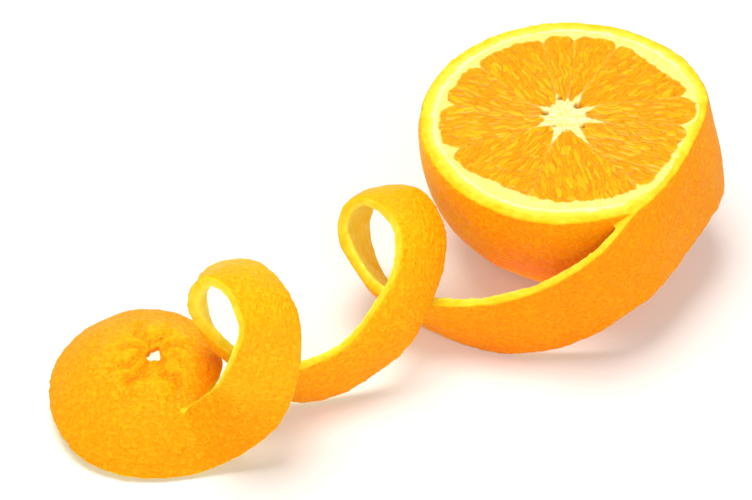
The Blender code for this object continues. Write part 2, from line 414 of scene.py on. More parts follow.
def depth_at(vert):
    """The depth under the skin that a point shows, in millimetres."""
    place = vert.co / MM
    skin_rolls_in = fade(from_stem(place)[0], *HOLE_EDGE)
    depth = skin_tree.find_nearest(vert.co)[3] / MM
    to_cut = cut_tree.find_nearest(vert.co)[3] / MM
    shown = EDGE_SHOWN_DEPTH * (1 - fade(to_cut, 0.0, EDGE_WIDTH + SLANT_WIDTH * slanted_cut(place)))
    depth = max(depth, shown) * skin_rolls_in
    if vert.normal.z > FACES_UP:
        depth = max(depth, SLIT_SHOWN_DEPTH * slit_share(place))
    return depth


peel_net.normal_update()
depth_layer = peel_net.verts.layers.float.new("depth_under_skin")
for vert in peel_net.verts:
    vert[depth_layer] = depth_at(vert)
depths = [vert[depth_layer] for vert in peel_net.verts]
print("depth under the skin, mm: up to", round(max(depths), 1))

# %% [markdown]
# ## Creases round the stem, and the unevenness of a real skin
#
# Round the stem hole the skin puckers: short valleys run out from the hole between puffed pads. They
# are pressed into the net along its normals, by a sum of soft valleys at chosen bearings. The same
# pass adds the long gentle waves of hand-cut peel, small lumps on the skin, and a slightly ragged
# surface on the pith and the cuts.

# %% Creases, pads and the stem hole's edge
# Each crease: bearing from the stem in degrees, depth and length in millimetres.
CREASES = ((117, 0.8, 12), (160, 0.6, 9), (206, 0.7, 12), (244, 1.0, 15), (264, 0.5, 9), (303, 1.1, 15),
           (345, 0.5, 9), (25, 0.7, 10), (70, 0.6, 9))
CREASE_HALF_WIDTH = 0.6  # mm at the hole
CREASE_WIDENS = 0.1  # mm for each mm outward
CREASE_WANDERS = 0.12  # radians, to and fro
CREASE_WANDER_RATE = 0.9  # radians of that swing for each mm outward
CREASE_STARTS = (1.5, 3.5)  # mm from the stem, between which a crease sinks to its depth
CREASE_FADES = (0.5, 1.2)  # and the shares of its length between which it ends
PAD_HEIGHT = 1.2  # mm
PADS_RISE = (1.5, 5.0)  # mm from the stem
PADS_FALL = (8.0, 17.0)
PAD_CUT = 0.85  # share of the pad's height that a crease takes away
PAD_CUT_FADES = (0.7, 1.5)  # shares of the crease's length
PADS_PAINTED_LIGHTER = 0.27  # how much lighter and yellower a pad is painted: painted light on the raised pads
CAP_REACH = 24.0  # mm, the creases and pads end within this
HOLE_ASIDE = Vector((0.1, 1.0, 0))  # mm, as the hole isn't quite in the middle of the creases
HOLE_CLOSES = 0.55  # mm that the skin rolls in over the hole's edge
HOLE_LOBES = 0.25  # mm more or less of it, three times round
HOLE_SPIKE = 0.6  # mm less of it at one narrow bearing, where the hole runs out to a point
SPIKE_BEARING = 1.4  # radians
SPIKE_SPREAD = 0.35
HOLE_SKIN = (STEM_HOLE_RADIUS + 0.5, 3.5 * STEM_HOLE_RADIUS)  # mm from the stem, where the skin rolls in


def crease_height(place):
    """The skin's lift round the stem in millimetres, how far it is in a crease, and how far on a pad."""
    reach, bearing, on_cap = from_stem(place)
    if reach > CAP_REACH or not on_cap:
        return 0.0, 0.0, 0.0
    padded = fade(reach, *PADS_RISE) * (1 - fade(reach, *PADS_FALL))
    height = 0.0
    creased = 0.0
    for degrees, depth, length in CREASES:
        wander = CREASE_WANDERS * math.sin(reach * CREASE_WANDER_RATE + degrees)
        turn = bearing - math.radians(degrees) + wander
        along = reach * math.cos(turn)
        aside = reach * math.sin(turn)
        if along > 0:
            valley = math.exp(-((aside / (CREASE_HALF_WIDTH + CREASE_WIDENS * along)) ** 2))
            sunk = fade(reach, *CREASE_STARTS) * (1 - fade(along / length, *CREASE_FADES))
            pressed = depth * valley * sunk
            height -= pressed
            padded *= 1 - PAD_CUT * valley * (1 - fade(along / length, *PAD_CUT_FADES))
            creased = max(creased, pressed)
    return height + PAD_HEIGHT * padded, creased, padded


def draw_in(place):
    """How far the ragged edge of the stem hole closes in over the hole."""
    reach, bearing, on_cap = from_stem(place)
    if reach > CAP_REACH or not on_cap:
        return Vector((0, 0, 0))
    spike = HOLE_SPIKE * math.exp(-(((bearing - SPIKE_BEARING) / SPIKE_SPREAD) ** 2))
    close = HOLE_CLOSES + HOLE_LOBES * math.sin(3 * bearing + 0.8) - spike
    near_hole = 1 - fade(reach, *HOLE_SKIN)
    inward = Vector((CAP_TOP.x - place.x, CAP_TOP.y - place.y, 0)).normalized()
    return (inward * close + HOLE_ASIDE) * near_hole


print("creases:", len(CREASES))

# %% [markdown]
# The same pass stores a painted light and shade: the skin is painted yellowest high on the curls and on
# the pads round the stem, and deeper orange low on the curls and on the half. On the half this is partly
# its own deeper tone and partly painted shade. Where the half and the strip beside it face down,
# painted shade makes them deepest orange.


# %% Move the points of the net
# Each wave: its height in millimetres, the spacing of its hills and a number that shifts it.
LONG_WAVE = (0.25, 9.0, 3.1)
SHORT_WAVE = (0.10, 3.2, 7.7)
SKIN_LUMPS = (0.12, 1.9, 1.3)
PITH_LUMPS = (0.16, 1.6, 5.9)
WANDER = 0.45  # mm that whole stretches of the strip wander
WANDER_LENGTH = 14
WANDER_SEEDS = (11.0, 23.0, 37.0)
SETTLED = (0.0, 4.0)  # mm above the table, between which the wandering grows to the full
SKIN_TO_PITH = (0.3, 1.0)  # mm of depth, between which the skin's lumps give way to the pith's
PAST_CURLS = (3, 34)  # mm to the right, between which the strip leaves the curls for the half
LOW_TO_HIGH = (3, 32)  # mm above the table
FACING_DOWN = (-0.2, 0.8)  # downward part of the normal
SHADE_BY_PLACE = 0.55  # share of the painted shade and tone that the place gives, and the rest is painted shade where the skin faces down


def wave(place, length, seed):
    """Smooth noise from about -1 to 1 whose hills lie about this many millimetres apart."""
    return noise.noise(place / length + Vector((seed, -seed, 2 * seed)))


def lumps(place, kind):
    """How far one kind of wave moves the surface here, in millimetres."""
    height, length, seed = kind
    return height * wave(place, length, seed)


def shade_and_tone_at(place, outward):
    """0 where the skin is painted yellowest, as painted light high on the curls, and 1 where painted shade
    makes it deepest orange.
    """
    past_curls = fade(place.x, *PAST_CURLS)
    height = fade(place.z, *LOW_TO_HIGH)
    underside = fade(-outward.z, *FACING_DOWN) * past_curls
    return SHADE_BY_PLACE * (1 - (1 - past_curls) * height) + (1 - SHADE_BY_PLACE) * underside


def uneven_peel(builder):
    """Moves each point of the net by the creases, waves and lumps of its place."""
    builder.normal_update()
    crease_shade_layer = builder.verts.layers.float.new("crease")
    shade_and_tone_layer = builder.verts.layers.float.new("ripe")
    moves = []
    for vert in builder.verts:
        place = vert.co / MM
        skin_share = 1 - fade(vert[depth_layer], *SKIN_TO_PITH)
        # The place and the facing give a painted light and shade: yellower high on the curls, and deeper
        # orange low down, on the half and where the skin faces down.
        ripe = shade_and_tone_at(place, vert.normal)
        lift = lumps(place, LONG_WAVE) + lumps(place, SHORT_WAVE)
        if skin_share > 0:
            height, creased, padded = crease_height(place)
            lift += skin_share * (lumps(place, SKIN_LUMPS) + height)
            # The crease's depth is stored as a mask for painted shade: the creases are painted a deeper
            # orange.
            vert[crease_shade_layer] = skin_share * min(creased, 1.0)
            # The pads are painted yellower: painted light on their raised tops.
            ripe -= PADS_PAINTED_LIGHTER * padded
        if skin_share < 1:
            lift += (1 - skin_share) * lumps(place, PITH_LUMPS)
        vert[shade_and_tone_layer] = ripe
        wander = Vector([wave(place, WANDER_LENGTH, seed) for seed in WANDER_SEEDS]) * WANDER
        free = fade(place.z, *SETTLED)
        moves.append((vert.normal * lift + wander * free + draw_in(place)) * MM)
    for vert, move in zip(builder.verts, moves):
        vert.co += move
        vert.co.z = max(vert.co.z, 0.0)
    return max(move.length for move in moves) / MM


largest_move = uneven_peel(peel_net)
print("largest move of a point, mm:", round(largest_move, 2))


# %% Turn the net into the peel piece
def finished_piece(builder, name):
    mesh = bpy.data.meshes.new(name)
    bmesh.ops.recalc_face_normals(builder, faces=builder.faces)
    builder.to_mesh(mesh)
    builder.free()
    mesh.shade_smooth()
    return new_piece(name, mesh)


peel = finished_piece(peel_net, "orange_peel")
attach(peel, "root")
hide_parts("peel")
print("orange_peel:", len(peel.data.polygons), "faces")

# %% [markdown]
# ## Material: waxy citrus rind
#
# Orange skin is coloured wax over soft tissue, dimpled by oil glands 1 to 1.5 mm apart. It tells the
# eye three things: warm colour that drifts from spot to spot, a dimpled sheen that is broad rather
# than sharp, and a little light that travels through it. The glands are drawn 1.5 mm apart with a
# Voronoi pattern, which darkens the colour a little and dents the bump. Between them a finer noise
# makes the soft swellings, whose tops are painted yellower as a painted highlight. The skin's shift
# from yellow to deep orange also carries the painted light and shade stored on the net.
#
# Under the skin the stored depth picks the layer: bright zest first, then pale pith. A patchy noise
# shifts the depth, so that the layers are uneven, as the spongy pith is.

# %% The skin's colour and relief
GLAND_SPACING = 1.5  # mm
SWELLING_SPACING = 1.1
DRIFT_SPACING = 16.7  # mm over which the skin's colour drifts
DRIFT_MOVES_TONE = 0.3  # how far the random drift moves the skin's tone, on top of the painted light and shade
# From the yellowest skin to the deepest orange. The stored painted light and shade picks the colour, with a
# random drift.
SKIN_YELLOW_TO_ORANGE = ((0.05, "#FFB406"), (0.25, "#FFA304"), (0.45, "#FF9B04"), (0.65, "#FE9603"),
                 (0.85, "#FD8C02"), (1.0, "#FB7E02"))
# painted shade in the creases round the stem
CREASE_PAINTED_SHADE = "#F48402"
# painted highlight on the swellings' tops
SWELLING_HIGHLIGHT = "#FFCC1A"
SWELLING_SHOWN = (0.55, 0.22)  # how far a swelling's top is painted yellow, as a painted highlight, on yellow and on orange skin
SHADED_ENOUGH = 0.55  # painted shade and tone from which it shows least
SWELLING_EDGE = (0.38, 0.66)  # of the noise, from the foot of a swelling to its top
GLAND_TINTS = ((0.0, "#FFF0D8"), (0.7, "#FFFFFF"))
DIMPLE_EDGE = (0.1, 0.4)  # shares of the spacing, from a dimple's bottom to its rim
DIMPLE_HEIGHT = 0.4  # of a swelling's


def skin_look(material, place):
    """The colour and the height of the leathery skin."""
    # The skin's colour drifts at random between a lighter and a deeper orange, on top of the stored painted
    # light and shade.
    drift = add_node(
        material, "ShaderNodeTexNoise",
        Vector=place, Scale=1000 / DRIFT_SPACING, Detail=2.0, Roughness=0.5,
    )
    ripe = add_node(material, "ShaderNodeAttribute", {"attribute_name": "ripe"}).outputs["Fac"]
    drifting_shade_and_tone = add_node(
        material, "ShaderNodeMath", {"operation": "MULTIPLY_ADD"},
        _0=drift.outputs["Fac"], _1=DRIFT_MOVES_TONE, _2=ripe,
    ).outputs["Value"]
    skin_by_shade_and_tone = add_node(
        material, "ShaderNodeValToRGB", {"stops": SKIN_YELLOW_TO_ORANGE}, Fac=drifting_shade_and_tone
    ).outputs["Color"]
    # The creases round the stem are painted a deeper orange, as painted shade in their valleys.
    creased = add_node(material, "ShaderNodeAttribute", {"attribute_name": "crease"}).outputs["Fac"]
    smooth_skin = add_node(
        material, "ShaderNodeMix", {"data_type": "RGBA"}, _0=creased, _6=skin_by_shade_and_tone, _7=linear(CREASE_PAINTED_SHADE)
    ).outputs[2]

    # Small soft swellings stand between the oil glands, and their tops are painted yellower as a painted
    # highlight, most where the skin is yellow.
    swellings = add_node(
        material, "ShaderNodeTexNoise",
        Vector=place, Scale=1000 / SWELLING_SPACING, Detail=1.0, Distortion=0.6,
    )
    swelling = add_node(
        material, "ShaderNodeMapRange",
        Value=swellings.outputs["Fac"], From_Min=SWELLING_EDGE[0], From_Max=SWELLING_EDGE[1],
    ).outputs["Result"]
    contrast = add_node(
        material, "ShaderNodeMapRange",
        Value=ripe, From_Min=0.0, From_Max=SHADED_ENOUGH, To_Min=SWELLING_SHOWN[0], To_Max=SWELLING_SHOWN[1],
    ).outputs["Result"]
    painted_highlight = add_node(
        material, "ShaderNodeMath", {"operation": "MULTIPLY"}, _0=swelling, _1=contrast
    ).outputs["Value"]
    highlighted_skin = add_node(
        material, "ShaderNodeMix", {"data_type": "RGBA"},
        _0=painted_highlight, _6=smooth_skin, _7=linear(SWELLING_HIGHLIGHT),
    ).outputs[2]

    # Each gland is a dimple, a little darker than the skin round it.
    glands = add_node(
        material, "ShaderNodeTexVoronoi", {"feature": "SMOOTH_F1"},
        Vector=place, Scale=1000 / GLAND_SPACING, Smoothness=0.4, Randomness=0.95,
    )
    dimple = add_node(
        material, "ShaderNodeMapRange",
        Value=glands.outputs["Distance"], From_Min=DIMPLE_EDGE[0], From_Max=DIMPLE_EDGE[1],
    ).outputs["Result"]
    gland_tint = add_node(
        material, "ShaderNodeValToRGB", {"stops": GLAND_TINTS}, Fac=dimple
    ).outputs["Color"]
    colour = add_node(
        material, "ShaderNodeMix", {"data_type": "RGBA", "blend_type": "MULTIPLY"},
        _0=1.0, _6=highlighted_skin, _7=gland_tint,
    ).outputs[2]
    height = add_node(
        material, "ShaderNodeMath", {"operation": "MULTIPLY_ADD"}, _0=dimple, _1=DIMPLE_HEIGHT, _2=swelling
    ).outputs["Value"]
    return colour, height


print("oil glands:", round(100 / GLAND_SPACING**2), "in each square centimetre")

# %% The layers under the skin
FIBRE_SPACING = 1.43  # mm, coarser than the real fibres, which would be too fine to show
FIBRE_DEPTH = 0.5  # mm that the fibres shift the layers
PATCH_SPACING = 3.03  # mm
PATCH_DEPTH = 3.2
LAYERS_START = 1.8  # mm of shifted depth at the first colour of the layers
LAYERS_END = 5.6  # and at the last
RIND_LAYERS = ((0.0, "#F0B810"), (0.25, "#EAC21A"), (0.5, "#F2D63A"), (0.75, "#FAE450"),
               (0.9, "#FFEC70"), (1.0, "#FFF2A4"))
ZEST_STARTS = 0.4  # mm under the skin, with the fibres' shift
ZEST_ENDS = 0.9


def under_skin_look(material, place):
    """The colour and the height of zest and pith, and how far a point belongs to them."""
    depth = add_node(material, "ShaderNodeAttribute", {"attribute_name": "depth_under_skin"}).outputs["Fac"]
    fibres = add_node(
        material, "ShaderNodeTexNoise",
        Vector=place, Scale=1000 / FIBRE_SPACING, Detail=4.0, Roughness=0.6,
    ).outputs["Fac"]
    uneven_depth = add_node(
        material, "ShaderNodeMath", {"operation": "MULTIPLY_ADD"}, _0=fibres, _1=FIBRE_DEPTH, _2=depth
    ).outputs["Value"]
    patches = add_node(
        material, "ShaderNodeTexNoise",
        Vector=place, Scale=1000 / PATCH_SPACING, Detail=3.0, Roughness=0.6,
    ).outputs["Fac"]
    patchy_depth = add_node(
        material, "ShaderNodeMath", {"operation": "MULTIPLY_ADD"},
        _0=patches, _1=PATCH_DEPTH, _2=uneven_depth,
    ).outputs["Value"]
    layer_place = add_node(
        material, "ShaderNodeMapRange", Value=patchy_depth, From_Min=LAYERS_START, From_Max=LAYERS_END
    ).outputs["Result"]
    colour = add_node(
        material, "ShaderNodeValToRGB", {"stops": RIND_LAYERS}, Fac=layer_place
    ).outputs["Color"]
    under_skin = add_node(
        material, "ShaderNodeMapRange", {"interpolation_type": "SMOOTHSTEP"},
        Value=uneven_depth, From_Min=ZEST_STARTS, From_Max=ZEST_ENDS,
    ).outputs["Result"]
    return colour, fibres, under_skin


print("colours of the layers:", len(RIND_LAYERS))

# %% Make the rind material
RIND_RELIEF = 0.32  # mm
RIND_ROUGHNESS = (0.45, 0.75)  # of the skin and of the pith
RIND_GLOW = (0.2, 0.75)  # how much light travels through the skin and through the bare pith
RIND_GLOW_REACH = 3.0  # mm


def rind_material():
    material, shader = new_material("waxy_orange_rind")
    place = add_node(material, "ShaderNodeTexCoord").outputs["Object"]
    skin_colour, skin_height = skin_look(material, place)
    layer_colour, fibres, under_skin = under_skin_look(material, place)
    colour = add_node(
        material, "ShaderNodeMix", {"data_type": "RGBA"}, _0=under_skin, _6=skin_colour, _7=layer_colour
    ).outputs[2]
    link(material, colour, shader, "Base Color")
    relief = add_node(
        material, "ShaderNodeMix", {"data_type": "FLOAT"}, _0=under_skin, _2=skin_height, _3=fibres
    ).outputs[0]
    bump = add_node(
        material, "ShaderNodeBump", Height=relief, Strength=0.8, Distance=RIND_RELIEF * MM
    ).outputs["Normal"]
    link(material, bump, shader, "Normal")
    roughness = add_node(
        material, "ShaderNodeMapRange", Value=under_skin, To_Min=RIND_ROUGHNESS[0], To_Max=RIND_ROUGHNESS[1]
    ).outputs["Result"]
    link(material, roughness, shader, "Roughness")
    # The bare pith lets more light through the thin strip, which makes the curls glow from inside.
    glow = add_node(
        material, "ShaderNodeMapRange", Value=under_skin, To_Min=RIND_GLOW[0], To_Max=RIND_GLOW[1]
    ).outputs["Result"]
    link(material, glow, shader, "Subsurface Weight")
    shader.inputs["Subsurface Radius"].default_value = (1.0, 0.5, 0.08)
    shader.inputs["Subsurface Scale"].default_value = RIND_GLOW_REACH * MM
    shader.inputs["IOR"].default_value = 1.45
    shader.inputs["Specular IOR Level"].default_value = 0.06
    return material


peel.data.materials.append(rind_material())
print("material:", peel.data.materials[0].name)

# %% [markdown]
# ## The pulp
#
# The knife shows the fruit's plan: about ten segments round a pale, star-shaped core. Each segment is
# a thin bag packed with long juice sacs, which lie side by side and point at the core. The bags'
# walls run out from the star's arms, and at the rind their corners round off, so the white pith
# reaches in between them.
#
# A flat disc with a picture of this would look flat from the side. So the pulp is a closed body:
# one line, from the core out to the rind and down to the bottom, is spun round the core, and every
# point of it is then moved to its real place. Where the spun net meets the rind, a ray finds the
# rind's inner wall, so the pulp fills it without a gap.

# %% Plan of the segments
CORE_ASIDE = (-0.9, 0.6)  # mm from the middle of the cut
CORE_RADIUS = 5.6
# Each wall between two segments: its bearing at the core and at the rind in degrees, and how far
# the star's arm runs along it in millimetres.
WALLS = ((22, 11, 9.5), (61, 60, 11.5), (80, 82, 7.5), (100, 98, 10.0), (147, 136, 8.5),
         (176, 168, 7.0), (205, 201, 9.0), (249, 250, 11.5), (296, 302, 13.0), (343, 350, 11.0))
# Where the pith at the rind is wider: bearing, spread in degrees and how much wider in millimetres.
WIDE_PITH = ((270, 45, 1.3), (235, 18, 1.7), (190, 26, -1.1), (38, 18, 2.2), (0, 16, -1.0))
WALL_BENDS = (8, 28)  # mm from the core, between which a wall turns to its bearing at the rind
# Small hollows in the core: bearing, distance from the core's middle, radius and depth.
HOLLOWS = ((160, 5.4, 0.9, 1.8), (97, 7.4, 0.7, 2.4), (48, 5.6, 1.1, 1.6), (318, 6.2, 0.6, 1.6),
           (12, 6.4, 0.5, 1.0), (230, 4.4, 0.4, 0.8))


def wall_turn(wall, radius):
    """The bearing of a wall between segments at this distance from the core, in radians."""
    at_core, at_rind, _ = wall
    return math.radians(at_core + (at_rind - at_core) * fade(radius, *WALL_BENDS))


def nearest_walls(turn, radius):
    """The walls on either side of a bearing: (angle past the lower one, angle to the upper, index)."""
    gaps = [((turn - wall_turn(wall, radius)) % math.tau, i) for i, wall in enumerate(WALLS)]
    past, index = min(gaps)
    upper = (wall_turn(WALLS[(index + 1) % len(WALLS)], radius) - turn) % math.tau
    return past, upper, index


print("segments:", len(WALLS))

# %% The cut plane and the rind's inner wall
turned = Matrix.Rotation(math.radians(-CUT_LEANS_LEFT), 4, "Y")
turned = turned @ Matrix.Rotation(math.radians(CUT_LEANS_FORWARD), 4, "X")
CUT = Matrix.Translation(HALF_CENTRE) @ turned @ Matrix.Translation((*CORE_ASIDE, CUT_ABOVE_CENTRE))
rind_tree = nearest_of(peel_solid, range(len(peel_solid.faces)))
GROWN_IN = 1.2  # mm that the pulp reaches into the rind
WALL_SEEN_FROM = 0.7  # mm below the cut, where the rays to the rind start


def wall_distance(start, aim):
    """How far it is from a point inside the fruit to the rind's inner wall, in millimetres."""
    hit = rind_tree.ray_cast(start * MM, aim)
    return hit[3] / MM if hit[0] is not None else math.inf


def pulp_reach(turn):
    """The pulp's radius in the plane of the cut, from the core, at this bearing."""
    aim = (turned @ Vector((math.cos(turn), math.sin(turn), 0))).to_3d()
    start = CUT @ Vector((0, 0, -WALL_SEEN_FROM))
    away = start - HALF_CENTRE
    along = away.dot(aim)
    ball = -along + math.sqrt(along**2 + PULP_RADIUS**2 - away.length_squared)
    return min(ball, wall_distance(start, aim) + GROWN_IN)


quarters = [round(pulp_reach(math.radians(bearing)), 1) for bearing in (0, 90, 180, 270)]
print("pulp reach at four bearings, mm:", quarters)

# %% [markdown]
# One function gives the cut face its relief and its colours together, so that the grooves between
# the sacs are dark in the same places where they are deep. For a point of the cut it tells how high
# it stands, how much of it is pith, how near it is to a sac's edge, how bright its own sac is,
# whether it is in a hollow of the core, and where it lies along the sacs.


# %% Where the cut face is pith
ARM_HALF_WIDTH = 1.5  # mm, of the star's arms at the core
ARM_STARTS = CORE_RADIUS - 1.5
THINNEST_ARM = 0.1
ARM_SOFT = 0.25  # mm on either side of an arm's edge
WALL_HALF_WIDTH = 0.16
WALL_SOFT = 0.4
WALL_SHOWN = 0.03  # a wall is a clear skin, so it shows only this share of the pith's colour
WALL_SHOWN_AT_CORE = 0.16  # and more where its bag narrows
WALL_PAST_ARM = (-2, 5)  # mm past the arm's end, between which it shows less
WALL_SHOWN_AT_RIND = 0.1
WALL_NEAR_RIND = (-9, -3)  # mm past the rind, between which it shows more again
CORNER_LENGTH = 5.5  # mm over which a segment's corners round off at the rind
CORNER_ENDS = 0.8  # mm past the pulp's edge
CORNER_HALF_WIDTH = 4.5  # mm of pith between two rounded corners, at that end
CORE_EDGE = (CORE_RADIUS - 0.5, CORE_RADIUS + 0.4)  # mm from the core's middle
RIM_SUNK = 0.3  # mm that the rind covers at the pulp's edge
RIM_SOFT = 0.35
RIM_WANDERS = 0.9  # mm
RIM_WANDERS_PER_MM = 0.4
# The pith's edges are ragged by this many millimetres, and each kind of edge by its own share of it.
RAGGED = 0.5
RAGS_PER_MM = 0.9
CORE_RAGGED = 1.6
ARM_RAGGED = 0.4
WALL_RAGGED = 0.3
RIM_RAGGED = 0.5


def wall_pith(gap, wall, radius, reach, ragged):
    """The share of pith that one wall brings: its arm, its rounded corners and its own clear skin."""
    aside = radius * math.sin(min(gap, math.pi / 2))
    arm_end = wall[2]
    arm = ARM_HALF_WIDTH * max(0.0, 1 - (radius - ARM_STARTS) / (arm_end - ARM_STARTS))
    corner = CORNER_HALF_WIDTH * fade(radius, reach - CORNER_LENGTH, reach + CORNER_ENDS) ** 2
    width = max(arm, corner)
    share = 0.0
    if width > THINNEST_ARM:
        share = 1 - fade(aside + ARM_RAGGED * ragged, width - ARM_SOFT, width + ARM_SOFT)
    near_core = 1 - fade(radius - arm_end, *WALL_PAST_ARM)
    near_rind = fade(radius - reach, *WALL_NEAR_RIND)
    shown = WALL_SHOWN + WALL_SHOWN_AT_CORE * near_core + WALL_SHOWN_AT_RIND * near_rind
    skin_edge = fade(aside + WALL_RAGGED * ragged, WALL_HALF_WIDTH, WALL_HALF_WIDTH + WALL_SOFT)
    return max(share, shown * (1 - skin_edge))


def rim_pith(turn, radius, reach, uneven):
    """The share of pith beside the rind, which is wider at some bearings."""
    pulp_end = reach - GROWN_IN - RIM_SUNK
    for degrees, spread, wider in WIDE_PITH:
        off = (math.degrees(turn) - degrees + 180) % 360 - 180
        pulp_end -= wider * math.exp(-((off / spread) ** 2))
    return fade(radius + uneven, pulp_end - RIM_SOFT, pulp_end + RIM_SOFT)


def pith_share(turn, radius, reach, past, upper, index):
    """0 in the pulp and 1 in the core, in the star's arms or in the pith at the rind."""
    spot = Vector((radius * math.cos(turn), radius * math.sin(turn), 0))
    ragged = noise.noise(spot * RAGS_PER_MM) * RAGGED
    core = 1 - fade(radius + CORE_RAGGED * ragged, *CORE_EDGE)
    lower_wall = wall_pith(past, WALLS[index], radius, reach, ragged)
    upper_wall = wall_pith(upper, WALLS[(index + 1) % len(WALLS)], radius, reach, ragged)
    uneven = RIM_WANDERS * noise.noise(spot * RIM_WANDERS_PER_MM) + RIM_RAGGED * ragged
    return max(core, lower_wall, upper_wall, rim_pith(turn, radius, reach, uneven))


shares = [round(pith_share(0.7, radius, 34, *nearest_walls(0.7, radius)), 2) for radius in (2, 20, 33.5)]
print("share of pith in the core, in a segment and at the rind:", shares)

# %% Juice sacs
SAC_LENGTH = 3.8  # mm
SAC_WIDTH = 0.85
GROOVE_SHARE = 0.35  # of a sac's width
# A noise bends the rows of sacs. These are its hills for each sac's length and width, and how many
# lengths and widths it moves them.
BENDS_ALONG = 1.1
BENDS_ACROSS = 0.35
BENT_ALONG = 0.35
BENT_ACROSS = 0.8


def sac_pattern(radius, index, past, upper):
    """Distance to the nearest sac's edge, a random number for that sac, and the place along the sacs."""
    aside = (past - upper) / 2
    along = radius * math.cos(aside) / SAC_LENGTH
    across = radius * math.sin(aside) / SAC_WIDTH
    # The last number of each place keeps the segments' patterns apart.
    bend = noise.noise(Vector((along * BENDS_ALONG, across * BENDS_ACROSS, index * 3.7)))
    spot = Vector((along + BENT_ALONG * bend, across + BENT_ACROSS * bend, index * 7.3))
    distances, middles = noise.voronoi(spot)
    edge = min((distances[1] - distances[0]) / GROOVE_SHARE, 1.0)
    grain = Vector((along * SAC_LENGTH, across * SAC_WIDTH, index * 9.0))
    return edge, noise.cell(middles[0] * 13.7), grain


print("sacs side by side at 20 mm:", round(math.tau * 20 / SAC_WIDTH))

# %% Relief of the cut face
SAC_CROWN = 0.24  # mm that a sac bulges
GROOVE_DEPTH = 0.22
SAC_STANDS_OUT = 0.12  # mm that one sac stands higher than another
FACE_WAVE = 0.25  # mm that the whole face is uneven
FACE_WAVES_PER_MM = 0.22
PITH_SUNK = 0.1
PITH_ROUGH = 0.16
PITH_LUMPS_PER_MM = 0.8
RIM_RISES = 0.16  # mm toward the rind
RIM_RISE = (-3, -1)  # mm past the rind, between which it does
HOLLOW_RAGGED = 0.3  # mm
HOLLOW_RAGS_PER_MM = 2.0
HOLLOW_WALL = (0.4, 1.3)  # shares of a hollow's radius, between which its wall rises
NOISE_SLICE = 4.0  # any number: it only picks which slice of the noise is used


def hollow_at(spot):
    """How deep the core's hollows are here in millimetres, and whether this is inside one."""
    depth = 0.0
    inside = 0.0
    for degrees, distance, size, deep in HOLLOWS:
        bearing = math.radians(degrees)
        away = math.hypot(spot.x - distance * math.cos(bearing), spot.y - distance * math.sin(bearing))
        away += HOLLOW_RAGGED * noise.noise(spot * HOLLOW_RAGS_PER_MM)
        pit = 1 - fade(away / size, *HOLLOW_WALL)
        depth += deep * pit
        inside = max(inside, pit)
    return depth, inside


def cut_face(turn, radius, reach):
    """Height in millimetres, pith share, sac edge, sac tone, hollow share and place along the sacs."""
    past, upper, index = nearest_walls(turn, radius)
    pith = pith_share(turn, radius, reach, past, upper, index)
    edge, tone, grain = sac_pattern(radius, index, past, upper)
    spot = Vector((radius * math.cos(turn), radius * math.sin(turn), NOISE_SLICE))
    sac_height = SAC_CROWN * math.sqrt(edge) - GROOVE_DEPTH + SAC_STANDS_OUT * tone
    pulp_height = sac_height + FACE_WAVE * noise.noise(spot * FACE_WAVES_PER_MM)
    rim_height = RIM_RISES * fade(radius - reach, *RIM_RISE)
    pith_height = rim_height - PITH_SUNK + PITH_ROUGH * noise.noise(spot * PITH_LUMPS_PER_MM)
    deep, hollow = hollow_at(spot)
    height = pulp_height * (1 - pith) + pith_height * pith - deep
    return height, pith, edge, tone, hollow, grain


print("height at 20 mm, bearing 45:", round(cut_face(math.radians(45), 20, 34)[0], 2), "mm")

# %% Spin the pulp's net
SPOKES = 600
TOP_RINGS = 124
SIDE_RINGS = 14


def spun_disc():
    """A disc of radius 1 and its side wall of height 1, spun from one bent line."""
    builder = bmesh.new()
    corners = [builder.verts.new(place) for place in ((0, 0, 0), (1, 0, 0), (1, 0, -1))]
    top = builder.edges.new(corners[:2])
    side = builder.edges.new(corners[1:])
    bmesh.ops.subdivide_edges(builder, edges=[top], cuts=TOP_RINGS - 1)
    bmesh.ops.subdivide_edges(builder, edges=[side], cuts=SIDE_RINGS - 1)
    bmesh.ops.spin(
        builder, geom=builder.verts[:] + builder.edges[:], cent=(0, 0, 0), axis=(0, 0, 1),
        angle=math.tau, steps=SPOKES, use_merge=True,
    )
    return builder


pulp_net = spun_disc()
print("pulp net:", len(pulp_net.verts), "points")

# %% Shape the pulp
SIDE_BEGINS = 1e-4  # how far down the net its side begins
RIM_COLOURED = (-7, -3)  # mm past the rind, between which the pith takes the rim's colour
POLE_MERGE = 0.01  # mm within which the points at the middle are one
STORED_NUMBERS = ("pith", "sac_edge", "sac_tone", "hollow", "near_rind")


